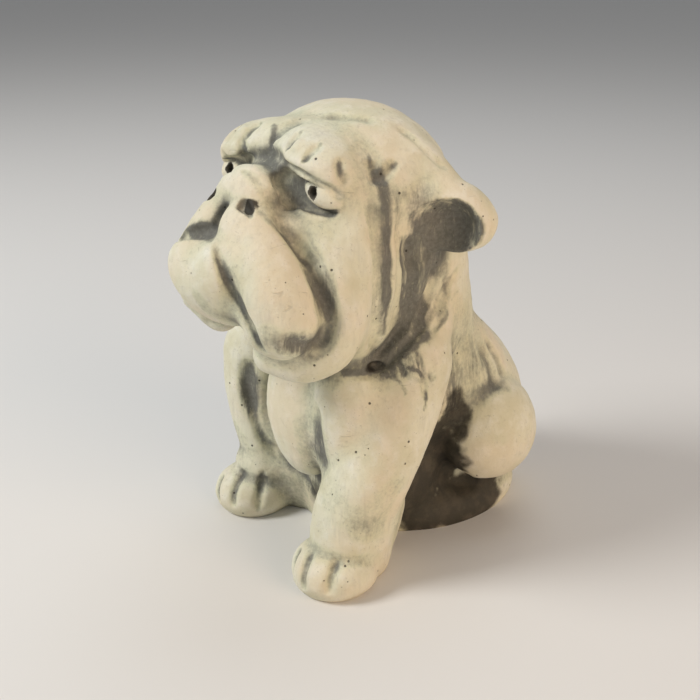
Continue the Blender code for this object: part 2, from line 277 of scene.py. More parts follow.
# ------------------------------------------------------- the figure
BODY = Frame()
HEAD = Frame(HEAD_AT, turn_matrix(0, 0, HEAD_TURN))
TOES = [[(33, -92, 21), (36, -98, 15), (38, -101, 6)], [(44, -89, 23), (48, -97, 16), (51, -101, 6)],
        [(58, -83, 24), (61, -90, 17), (63, -94, 7)], [(-60, -88, 20), (-56, -94, 14), (-52, -97, 6)],
        [(-46, -81, 28), (-43, -89, 18), (-39, -94, 8)], [(-34, -74, 27), (-31, -80, 17), (-27, -84, 8)]]


def torso(f):
    f.ball(BODY, (0, -28, 98), (46, 44, 60), (-10, 0, 0), 0)                                   # ribs
    f.limb(BODY, [(0, -15, 100, 42), (0, 18, 86, 44), (0, 38, 64, 45), (0, 46, 40, 41)], 20)    # back to rump
    f.limb(BODY, [(1, -9, 142, 45), (0, -16, 172, 48)], 25)                                     # neck
    f.ball(BODY, (2, -66, 86), (29, 19, 42), (0, 0, 0), 5)                                      # chest
    f.ball(BODY, (35, -60, 88), (19, 21, 44), (0, 0, 8), 5)                                     # its left edge
    legs = Form()
    legs.limb(BODY, [(38, -18, 136, 18), (46, -34, 108, 22), (48, -47, 84, 22), (48, -58, 64, 21),
                     (46, -68, 42, 19), (LEG_X, -71, 30, 18)], 10)                              # left foreleg
    legs.limb(BODY, [(46, -26, 118, 18), (51, -42, 80, 16), (50.5, -49, 58, 14.5), (49, -54, 35, 13),
                     (47.5, -58, 15, 12.5)], 8)                                                 # its broad rear half
    legs.limb(BODY, [(-42, -24, 136, 20), (-59, -57, 106, 20), (-60, -62, 84, 20), (-57, -64, 62, 17.5),
                     (-50, -66, 42, 13.5), (-48, -66, 28, 13)], 10)                             # right foreleg
    for side, (x, y, z) in ((1, PAW_AT), (-1, RIGHT_PAW_AT)):
        legs.ball(BODY, (x - side, y + 7, 27), (18, 18, 15), (0, 0, 0), 4)                      # wrist
        legs.limb(BODY, [(x - side, y + 15, 20, 16), (x - 2 * side, y + 19, 8, 15)], 6)
        legs.ball(BODY, (x, y, z), PAW, (0, 0, 0), 3)
    f.group(legs, 4)
    f.ball(BODY, (36, -54, 92), (22, 22, 40), (10, 0, 0), 8)                                    # left shoulder runs into the chest
    f.ball(BODY, (0, -44, 28), (38, 14, 40), (0, 0, 0), 8)                                      # web between the forelegs
    f.ball(BODY, (0, -14, 34), (36, 40, 46), (0, 0, 0), 10)                                     # belly down to the ground
    f.ball(BODY, (34, -46, 44), (20, 20, 50), (0, 0, 0), 8, mirror=True)                        # forelegs backed by the body
    f.ball(BODY, HAUNCH_AT, HAUNCH, (0, 0, 0), 3, mirror=True)
    f.ball(BODY, (0, 26, 4), (43, 60, 24), (0, 0, 0), 8)                                        # seat


def head():
    g = Form()
    g.ball(HEAD, (0, 48, -38), SKULL, (0, 0, 0), 16)
    g.ball(HEAD, (0, 49, -19.5), (54, 46, 33.5), (0, 0, 0), 16)                                   # crown
    g.ball(HEAD, (0, 42, -66), (52, 44, 42), (0, 0, 0), 16)                                     # throat
    g.ball(HEAD, (20, 10, -3), (26, 17, 15), (0, 12, -12), 12, mirror=True)                     # brows
    g.ball(HEAD, (33, 20, -56), (26, 28, 50), (0, 0, 0), 12, mirror=True)                       # cheeks
    g.ball(HEAD, (0, -6, -24), (20, 18, 18), (0, 0, 0), 8)                                      # muzzle
    g.limb(HEAD, [(30, 0, -32, 8), (41, 1, -48, 11), (47.5, 2, -66, 13), (45, -3, -84, 13.5),
                  (35, -12, -93, 13), (24, -22, -92, 10)], 6)                                   # left jowl
    g.limb(HEAD, [(-30, -1, -32, 8), (-40, -1, -48, 11), (-46, -1, -64, 13), (-43, -4, -78, 13),
                  (-32, -12, -84, 12), (-22, -20, -84, 10)], 6)                                 # right jowl
    chin = Form()
    chin.ball(HEAD, (0, -35, -53), (25, 21, 18), (20, 0, 0), 4)
    chin.ball(HEAD, (12, -38, -47), (12, 14, 14), (15, 0, 0), 8, mirror=True)
    chin.ball(HEAD, (0, -27, -63), (28, 19, 16), (25, 0, 0), 10)
    g.group(chin, 2)
    g.limb(HEAD, [(-22, -36, -40, 2), (-12, -45, -33, 3.5), (0, -46, -30, 3.5), (7, -45, -31, 2.5)],
           2.5, "cut")                                                                          # mouth
    g.ball(HEAD, (17, -24, -47), (15, 18, 30), (6, -24, 0), 4, mirror=True)                     # upper lips
    g.limb(HEAD, [(15, -22, -33, 12), (23, -24.5, -46, 16.5), (31, -25, -59, 19.5), (36, -24.5, -70, 19)], 7)
    g.ball(HEAD, (-28, -23, -63), (19, 18, 22), (0, 18, 0), 10)
    g.ball(HEAD, (20, -8, -36), (12, 10, 12), (0, 0, 0), 6, mirror=True)
    g.ball(HEAD, (1, -15.5, -16), (17, 12, 12.5), (0, 0, 0), 4)                                 # nose
    g.limb(HEAD, [(8, -19, -20, 8), (12, -22, -28, 9), (17, -23, -38, 10)], 6, mirror=True)     # nose runs into the lips
    g.limb(HEAD, [(-20, -42, -38, 1.2), (-14, -43, -35.5, 3.0), (-6, -41.5, -32.5, 4.0), (0, -40, -31, 3.6),
                  (5, -42, -33, 1.4)], 1.5, "cut")                                              # open corner of the mouth
    g.limb(HEAD, [(42, 56, -6, 9), (50, 61, -16, 11)], 10, mirror=True)                         # root of the ear
    g.ball(HEAD, EAR_AT, EAR, (0, 20, 48), 6, mirror=True)
    g.limb(HEAD, [(64, 46, -29, 8), (70, 53, -35, 14.5), (63, 48, -47.5, 11)], 2, "cut", mirror=True)   # hollow under the ear flap
    g.limb(HEAD, [(17, -7, -9, 6), (25, -6, -13, 7.5), (33, -4, -15.5, 7.5), (39.5, -1, -17.5, 5.5)], 2, "cut", mirror=True)
    g.ball(HEAD, (EYE_X, 4.5, -14.3), (12.5, 8, 6.8), (0, 20, 0), 0.5, mirror=True)               # eyeballs
    return g


def carving(f):
    """Folds and grooves large enough to change the outline of the skin."""
    f.crease(HEAD, [(-24, -3, -6), (-7, -5, -2), (5, -5, 1), (20, -6, -1)], 2.4, 3.0)                      # stop
    f.crease(HEAD, [(1, -5, 1), (1, -2, 8), (2, 6, 13), (6, 18, 16)], 3.2, 3.0)                             # middle of the forehead
    f.crease(HEAD, [(50, 16, -12), (57, 17.5, -26), (59, 18, -41), (59, 18, -56), (58, 18.5, -71), (53, 21, -89), (46, 27, -102)],
             4.2, 9.0, mirror=True)                                                                         # behind the cheek
    f.crease(HEAD, [(54, 33, -20), (57, 35, -45), (56, 35, -70), (50, 38, -94)], 10.0, 6.0, mirror=True)
    f.crease(HEAD, [(55, 42, -38), (55, 44, -60), (51, 45, -85)], 3.4, 5.5, mirror=True)
    f.crease(HEAD, [(18, -21, -24), (24, -17, -31), (31, -13, -40), (40, -11, -48), (47, -10, -56), (52, -10, -65),
                    (53, -11, -73), (49, -16, -81), (43, -27, -84)], 3.4, 8.0, mirror=True)                 # round the upper lip
    f.crease(HEAD, [(9, -42, -33), (19, -46, -41), (24, -45, -52), (31, -44, -62), (37, -41, -73), (38, -36, -84)],
             2.4, 6.0, mirror=True)                                                                         # chin against the lips
    for line in TOES:                                                                                       # toes
        f.crease(BODY, line, 2.4, 4.0)
    f.crease(BODY, [(36, 18, 128), (42, -2, 104), (43, -14, 76), (40, -26, 44)], 5, 4, mirror=True)         # behind the shoulder
    f.crease(BODY, [(46, 0, 34), (55, 12, 20), (58, 30, 17), (52, 52, 17)], 6, 6, mirror=True)              # under the haunch
    f.crease(BODY, [(30, -84, 106), (33, -83, 90), (35, -81, 76), (35, -78, 62)], 4.5, 5)                   # chest against the left foreleg
    f.crease(BODY, [(-42, -80, 100), (-45, -77, 84), (-44, -76, 66)], 4, 5)                                 # chest against the right foreleg


def fine_carving(f):
    """The eyes, nostrils, wrinkles, cracks and toe lines, too fine for the solid."""
    c = lambda rows, width, depth, mirror=True, at=HEAD: f.crease(at, rows, width, depth, mirror=mirror)
    # forehead and temples
    c([(15.5, 5, 12), (16.5, 0, 8.5), (17, -4.5, 4.5)], 1.7, 4.4)
    c([(31, 4, 9), (31, -1, 6), (30, -6, 1)], 1.7, 4.4)
    c([(-19, -3.5, 5), (-17, -5, 1), (-14, -5, -2.5)], 2.2, 3.8, False)
    c([(22.5, 1, 9.5), (22, -5, 4.5)], 3.0, -1.3)
    c([(40.9, 7.7, 3.5), (43.4, 5, -1.2), (45.3, 5.5, -5.2), (46.4, 7.1, -8.6)], 2.2, 3.5)
    c([(43, 25, 0), (46.5, 23.5, -5), (49.4, 21.5, -10.6)], 2.2, 4.2)
    c([(48.5, 36.5, -1), (49.2, 30, -5), (49.8, 23.8, -9.6)], 2.0, 3.5)
    c([(34, 50, 12), (49, 54.5, 2), (58, 61, -9)], 1.8, 2.6)
    c([(6, 24, 15), (18, 34, 16), (30, 42, 14)], 3.0, 2.2, False)
    # brow edge, eyes and lids
    c([(-35, -6, -4), (-23, -3, -6), (-8, -3, -3)], 1.5, 3.2, False)
    c([(12, -5, 0), (20, -7, -1.5), (31, -7, -3.5), (39, -4, -7.5), (43.5, 1, -11.5), (45, 4, -17)], 1.6, 3.5, False)
    c([(12, -8, 2.5), (21, -9, 1.5), (31, -8.5, 0), (40, -4.5, -3.5)], 2.6, -1.2)
    c([(22, -3, -20), (28, -2, -22), (34, 0, -22.5), (40, 2, -22.5), (44, 4, -20.5)], 1.3, 2.9)
    c([(21, -5, -23.5), (28, -4, -25), (35, -2, -25.5), (42, 1.5, -24.5)], 1.8, -1.0)
    c([(19, -9, -14), (21, -6, -20), (22, -7, -27)], 2.6, 3.2)
    f.ball(HEAD, (33.0, -3.6, -13.2), (2.5, 6, 2.8), (0, 0, 0), 0.3, "cut", mirror=True)
    # nose and mouth
    for side in (1, -1):
        (x, y, z), (u, v, w) = ((f.snap(HEAD.at([(side * a, -30, b)]))[0] - HEAD.origin) @ HEAD.turn for a, b in ((14, -16.5), (20, -21.5)))
        f.limb(HEAD, [(x, y, z, 3.3), ((x + u) / 2, (y + v) / 2 + 0.6, (z + w) / 2, 2.2), (u, v + 0.4, w, 0.9)], 0.8, "cut")
    c([(0, -29, -20), (0, -32, -25), (0, -36, -31)], 1.8, 4.2, False)
    c([(1, -21.5, -5), (8, -20, -6), (15, -17, -12)], 1.8, 1.9)
    c([(9, -42, -33), (18, -46, -41), (23, -44.5, -53), (30, -43.5, -62), (37, -41, -74), (41, -37, -82)], 1.3, 4.5)
    c([(53, -10, -70), (51, -15, -80), (52, -27, -77), (50, -37, -70)], 3.2, 3.5, False)
    c([(-22, -32, -84), (-17, -29, -86), (-8, -28, -86)], 2.4, 3.8, False)
    # side of the head: ridges and folds between the cheek and the ear
    c([(57, 30, -24), (58, 31, -48), (57, 31, -72)], 2.0, -2.1)
    c([(55, 25, -30), (56, 26, -55), (53, 28, -84)], 1.2, 2.2)
    c([(56, 37, -34), (56, 39, -60), (53, 40, -84)], 1.3, 2.6)
    c([(53, 61, -56), (51.5, 60, -69), (52, 54, -81), (54, 46, -91)], 2.4, 4.8)
    # neck
    c([(46, -70, 121), (50, -57, 122), (53, -43, 131), (53, -25, 143), (47, -5, 158), (43, 6, 167)], 1.8, 4.2, False, BODY)
    c([(47, -6, 168), (47.5, -7, 155), (54, -18, 143), (59, -30, 134)], 1.8, 2.9, False, BODY)
    c([(57, -35, 133), (62, -35.5, 125.5), (66, -36, 116.5), (68.5, -37, 108)], 1.0, 2.6, False, BODY)
    c([(53, -46, 130), (58, -44, 124), (59, -42.5, 118)], 0.9, 1.9, False, BODY)
    c([(63, -35, 121), (66, -31, 118), (67, -28, 119)], 0.8, 1.6, False, BODY)
    f.ball(BODY, (50, -54, 124.5), (7, 5, 2.4), (0, -12, -40), 1.0, "cut")
    # body
    for line in TOES:
        f.crease(BODY, line, 1.4, 1.4)
    c([(36, 29, 113), (40, 35, 97), (47, 36, 85)], 3.0, 3.8, True, BODY)
    c([(30, 38, 112), (35, 44, 97), (42, 46, 86)], 3.0, 2.9, True, BODY)
    c([(-47, -77, 91), (-45, -76, 73), (-39, -72, 50), (-26, -64, 37), (-14, -58, 31)], 2.4, 4.8, False, BODY)
    c([(-16, -59, 34), (-9, -58, 27), (0, -60, 20)], 2.2, 3.8, False, BODY)


def statue_form():
    f = Form()
    torso(f)
    f.group(head(), 3)
    carving(f)
    fine_carving(f)
    return f


# ------------------------------------------------------- small lumps
def hashed(i):
    """A repeatable number from 0 to 1 for each whole-numbered cell."""
    n = (i[..., 0] * 73856093) ^ (i[..., 1] * 19349663) ^ (i[..., 2] * 83492791)
    n = (n ^ (n >> 13)) * 1274126177 & 0x7FFFFFFF
    return ((n ^ (n >> 16)) & 0xFFFFF).astype(np.float32) / 0xFFFFF


def lumps(p, size, seed=0):
    """Smooth random relief, from -1 to 1, with lumps about this size."""
    q = p / size + seed * 17.3
    cell = np.floor(q).astype(np.int64)
    t = (q - cell).astype(np.float32)
    t = t * t * (3 - 2 * t)
    total = np.zeros(len(p), np.float32)
    for dx in (0, 1):
        for dy in (0, 1):
            for dz in (0, 1):
                w = (t[:, 0] if dx else 1 - t[:, 0]) * (t[:, 1] if dy else 1 - t[:, 1]) * (t[:, 2] if dz else 1 - t[:, 2])
                total += w * hashed(cell + (dx, dy, dz))
    return total * 2 - 1


# ------------------------------------------------------- the skin
def in_blocks(p, work, side=28.0, most=60000):
    """work(points) over points that lie close together, as one array."""
    key = np.floor(p / side).astype(np.int64) + 64
    key = (key[:, 0] * 128 + key[:, 1]) * 128 + key[:, 2]
    order = np.argsort(key, kind="stable")
    ends = np.nonzero(np.diff(key[order]))[0] + 1
    out = None
    for part in np.split(order, ends):
        for i in range(0, len(part), most):
            chosen = part[i:i + most]
            r = work(p[chosen])
            if out is None:
                out = np.zeros((len(p),) + r.shape[1:], np.float32)
            out[chosen] = r
    return out


def skin_of(form, low, high, step, coarse=5, rounds=2):
    """Points and four-sided faces of the form's skin, from a grid of this pitch."""
    low, high = np.asarray(low, float), np.asarray(high, float)
    n = np.ceil((high - low) / (step * coarse)).astype(int)
    N = n * coarse + 1
    mids = [low[i] + (np.arange(n[i]) + 0.5) * step * coarse for i in range(3)]
    g = np.stack(np.meshgrid(*mids, indexing="ij"), -1).reshape(-1, 3).astype(np.float32)
    near = in_blocks(g, lambda q: form.value(q, 24.0), 60.0).reshape(n)
    active = np.abs(near) < step * coarse * 0.87 * 1.3 + 2.5

    def grow(a):
        return np.repeat(np.repeat(np.repeat(a, coarse, 0), coarse, 1), coarse, 2)

    f = np.full(N, 50, np.float32)
    f[:-1, :-1, :-1] = grow(np.where(near < 0, -50.0, 50.0).astype(np.float32))
    need, a = np.zeros(N, bool), grow(active)
    offsets = [(x, y, z) for z in (0, 1) for y in (0, 1) for x in (0, 1)]
    for dx, dy, dz in offsets:
        need[dx:N[0] - 1 + dx, dy:N[1] - 1 + dy, dz:N[2] - 1 + dz] |= a
    p = (low + np.argwhere(need) * step).astype(np.float32)
    f[need] = in_blocks(p, lambda q: form.value(q, 6.0))
    inside = f < 0
    count = np.zeros(N - 1, np.int8)
    for dx, dy, dz in offsets:
        count += inside[dx:N[0] - 1 + dx, dy:N[1] - 1 + dy, dz:N[2] - 1 + dz]
    cell = (count > 0) & (count < 8)
    number = np.full(N - 1, -1, np.int64)
    cells = np.argwhere(cell)
    number[cell] = np.arange(len(cells))
    corners = np.array(offsets)
    at = [f[tuple((cells + c).T)] for c in corners]
    total, hits = np.zeros((len(cells), 3)), np.zeros(len(cells))
    for i in range(8):
        for j in range(i + 1, 8):
            if np.abs(corners[i] - corners[j]).sum() == 1:
                m = (at[i] < 0) != (at[j] < 0)
                t = at[i][m] / (at[i][m] - at[j][m])
                total[m] += corners[i] + t[:, None] * (corners[j] - corners[i])
                hits[m] += 1
    v = (low + (cells + total / hits[:, None]) * step).astype(np.float32)
    quads = []
    for ax in range(3):
        u, w = (ax + 1) % 3, (ax + 2) % 3
        first, second = [slice(None)] * 3, [slice(None)] * 3
        first[ax], second[ax] = slice(0, N[ax] - 1), slice(1, N[ax])
        start = inside[tuple(first)]
        e = np.argwhere(start != inside[tuple(second)])
        e = e[(e[:, u] > 0) & (e[:, w] > 0) & (e[:, u] < N[u] - 1) & (e[:, w] < N[w] - 1)]
        off = np.zeros((4, 3), int)
        off[1, u] = off[2, u] = off[2, w] = off[3, w] = -1
        q = np.stack([number[tuple((e + o).T)] for o in off], 1)
        quads.append(np.where(start[tuple(e.T)][:, None], q, q[:, ::-1]))
    for _ in range(rounds):
        r = in_blocks(v, lambda q: np.column_stack(form.slope(q, 0.3, 6.0)))
        move = -(r[:, 3] / ((r[:, :3] ** 2).sum(1) + 1e-6))[:, None] * r[:, :3]
        size = np.sqrt((move ** 2).sum(1)) + 1e-9
        v = v + move * np.minimum(1, 0.6 * step / size)[:, None]
    return v, np.concatenate(quads)


def mesh_of(name, points, faces):
    mesh = bpy.data.meshes.new(name)
    mesh.vertices.add(len(points))
    mesh.vertices.foreach_set("co", points.astype(np.float32).ravel())
    mesh.loops.add(faces.size)
    mesh.loops.foreach_set("vertex_index", faces.astype(np.int32).ravel())
    mesh.polygons.add(len(faces))
    mesh.polygons.foreach_set("loop_start", np.arange(0, faces.size, faces.shape[1], dtype=np.int32))
    mesh.update(calc_edges=True)
    mesh.validate()
    return mesh


def points_of(mesh):
    co = np.empty(len(mesh.vertices) * 3, np.float32)
    mesh.vertices.foreach_get("co", co)
    return co.reshape(-1, 3)


def roughen(p, normal):
    """The casting's uneven face: broad lumps, trowel-sized dents and grain."""
    low = 0.45 * lumps(p, 17.0, 1) + 0.28 * lumps(p, 7.5, 2) + 0.13 * lumps(p, 3.2, 3)
    fade = np.clip((p[:, 2] - 1.0) / 5.0, 0, 1)
    return p + normal * (low * fade)[:, None]


def casting(form):
    """The statue as one closed mesh, in millimetres, standing on z = 0."""
    v, quads = skin_of(form, (-100, -150, -6), (100, 110, 262), PITCH)
    g = in_blocks(v, lambda q: form.slope(q, 0.5, 6.0)[0])
    g /= np.sqrt((g * g).sum(1))[:, None] + 1e-9
    v = roughen(v, g)
    mesh = mesh_of("bulldog_casting", v, quads)
    bm = bmesh.new()
    bm.from_mesh(mesh)
    cut = bmesh.ops.bisect_plane(bm, geom=bm.verts[:] + bm.edges[:] + bm.faces[:], dist=0.02,
                                 plane_co=(0, 0, 0), plane_no=(0, 0, -1), clear_outer=True)
    rim = [e for e in cut["geom_cut"] if isinstance(e, bmesh.types.BMEdge)]
    bmesh.ops.contextual_create(bm, geom=rim)
    bmesh.ops.triangulate(bm, faces=bm.faces[:])
    bmesh.ops.recalc_face_normals(bm, faces=bm.faces[:])
    bm.to_mesh(mesh)
    bm.free()
    o = bpy.data.objects.new("bulldog_casting", mesh)
    bpy.context.scene.collection.objects.link(o)
    if len(mesh.polygons) > MOST:
        thin = o.modifiers.new("thin", "DECIMATE")
        thin.ratio = MOST / len(mesh.polygons)
        graph = bpy.context.evaluated_depsgraph_get()
        graph.update()
        o.data = bpy.data.meshes.new_from_object(o.evaluated_get(graph))
        o.modifiers.clear()
    return o


# ------------------------------------------------------- where the wash and the painted shade lie
# (frame, centre, half sizes, strength, how far in it is full): soft patches of grey wash and painted shade, and of
# near-black stain and painted shadow
WASH_AND_SHADE_PATCHES = [
    (HEAD, (57, 40, -54), (22, 25, 50), 0.85, 0.60),    # folds between the cheek and the ear
    (HEAD, (-57, 40, -54), (22, 25, 50), 0.85, 0.60),
    (HEAD, (69, 52, -37), (17.5, 17.5, 18), 1.5, 0.85), # under the ear flaps
    (HEAD, (-69, 52, -37), (17.5, 17.5, 18), 1.5, 0.85),
    (HEAD, (21, -3, -13), (7, 8, 9), 0.9, 0.35),        # inner corners of the eyes
    (HEAD, (-21, -3, -13), (7, 8, 9), 0.9, 0.35),
    (HEAD, (0, -3, -1), (24, 8, 5), 0.4, 0.35),         # stop between the brows
    (HEAD, (49, -30, -77), (17, 17, 10), 1.0, 0.35),    # foot of the upper lip
    (HEAD, (50, -10, -56), (7, 10, 18), 0.5, 0.35),
    (HEAD, (-8, -38, -33), (13, 7, 6), 1.2, 0.35),      # mouth
    (BODY, (54, -46, 126), (20, 18, 10), 1.2, 0.35),    # throat
    (BODY, (26, -82, 120), (30, 12, 9), 0.9, 0.35),
    (BODY, (62, -34, 116), (8, 10, 16), 0.8, 0.35),
    (BODY, (-46, -76, 80), (8, 10, 24), 1.2, 0.45),     # inside the right foreleg
    (BODY, (-56, -66, 44), (20, 22, 24), 0.6, 0.35),
    (BODY, (34, -82, 78), (10, 10, 30), 1.3, 0.30),      # middle of the chest
    (BODY, (0, -66, 32), (30, 18, 22), 0.9, 0.35),
    (BODY, (58, -70, 40), (16, 18, 11), 0.7, 0.30),     # above the left paw
    (BODY, (56, -44, 44), (12, 14, 34), 0.6, 0.30),     # rear edge of the left foreleg
    (BODY, (46, 24, 100), (14, 24, 24), 0.8, 0.35),     # back, above the haunches
    (BODY, (-46, 24, 100), (14, 24, 24), 0.8, 0.35),
    (BODY, (48, -4, 98), (14, 20, 34), 1.1, 0.40),
    (BODY, (-48, -4, 98), (14, 20, 34), 1.1, 0.40),
]
# near-black stain and painted shadow in the recesses between the legs, under the haunches and under the jaw
STAINS_AND_SHADOWS = [
    (BODY, (40, -8, 36), (21, 27, 48), 1.0, 0.72),   # between the left foreleg and the haunch
    (BODY, (48, 20, 14), (28, 44, 19), 1.0, 0.72),   # under the left haunch
    (BODY, (-42, -8, 36), (21, 27, 48), 1.0, 0.72),
    (BODY, (-48, 20, 14), (28, 44, 19), 0.9, 0.72),
    (BODY, (44, 6, 72), (9, 12, 22), 0.8, 0.72),     # front edge of the left haunch
    (BODY, (50, -54, 124), (8, 7, 3), 0.8, 0.60),    # void under the jaw, painted as shadow
    (BODY, (30, 10, 34), (14, 16, 16), 1.0, 0.80),
    (BODY, (-4, -64, 24), (14, 14, 16), 0.6, 0.50),  # between the forelegs
]
# (frame, line, half width, strength, on both sides): washes and painted shade brushed along the grooves and folds
BRUSHED_WASH_AND_SHADE = [
    (HEAD, [(47, 26, -5), (52, 25, -15), (55, 24, -39), (56, 23, -55), (54, 25, -70), (51, 26, -86)], 3.6, 0.75, True),
    (HEAD, [(56, 49, -36), (54, 52, -46), (54, 52, -60), (51, 50, -78), (50, 44, -92)], 9.5, 0.50, True),
    (HEAD, [(58, 58, -37), (58, 60, -46), (52, 66, -60)], 10.0, 0.65, True),
    (HEAD, [(62, 64, -33), (65, 63, -46)], 6.0, 0.5, True),
    (HEAD, [(41, 25, 1), (48, 23, -8), (49, 23, -12)], 1.7, 0.55, True),
    (HEAD, [(48, 23, -8), (48, 30, -5), (48, 36, -3)], 1.5, 0.55, True),
    (HEAD, [(41, 7, 3), (43, 5, -2), (46, 4, -7)], 1.5, 0.35, True),
    (HEAD, [(44, -38, -70), (52, -31, -74), (52, -17, -78)], 9.5, 0.48, True),
    (HEAD, [(8, -24, -6), (16, -19, -12), (19, -13, -18)], 4.0, 0.25, True),
    (HEAD, [(21, -25, -21), (27, -21, -28), (30, -15, -36), (36, -10, -46), (44, -9, -57), (50, -9, -69)], 2.2, 0.5, True),
    (HEAD, [(15.5, 5, 12), (16.5, 0, 8.5), (17, -4.5, 4.5)], 1.5, 0.65, True),
    (HEAD, [(31, 4, 9), (31, -1, 6), (30, -6, 1)], 1.5, 0.65, True),
    (HEAD, [(-5, 5, 12), (-2, 2, 8), (0, 0, 2)], 1.8, 0.6, False),
    (HEAD, [(-19, -3.5, 5), (-17, -5, 1), (-14, -5, -3)], 1.4, 0.5, False),
    (HEAD, [(9, -53, -58), (12, -47, -68), (22, -41, -71)], 5.0, 0.35, False),
    (BODY, [(45, -70, 123), (50, -57, 124), (56, -40, 131), (57, -26, 138), (55, -14, 142), (46, 4, 152)], 2.2, 0.8, False),
    (BODY, [(61, -42, 125), (64, -37, 122), (67, -36, 116), (69, -36, 109), (70, -38, 102)], 1.2, 0.9, False),
    (BODY, [(53, -52, 121), (60, -47, 118), (64, -46, 113)], 1.2, 0.6, False),
    # painted shade down the inside of the right foreleg
    (BODY, [(-58, -80, 46), (-47, -80, 33), (-36, -78, 26)], 12.0, 0.25, False),
    (BODY, [(50, -83, 56), (62, -78, 51), (68, -65, 51), (70, -58, 62)], 13.0, 0.32, False),
    (BODY, [(10, 62, 128), (44, 30, 140), (52, 10, 134)], 16.0, 0.30, True),
    (BODY, [(44, 14, 83), (44, 28, 86), (47, 42, 86)], 6.0, 0.4, True),
    # painted shade in the valley of the chest
    (BODY, [(19, -81, 88), (20, -80, 74), (18, -76, 58)], 6.0, 0.3, False),
]


def smooth(x, a, b):
    t = np.clip((x - a) / (b - a), 0, 1)
    return t * t * (3 - 2 * t)


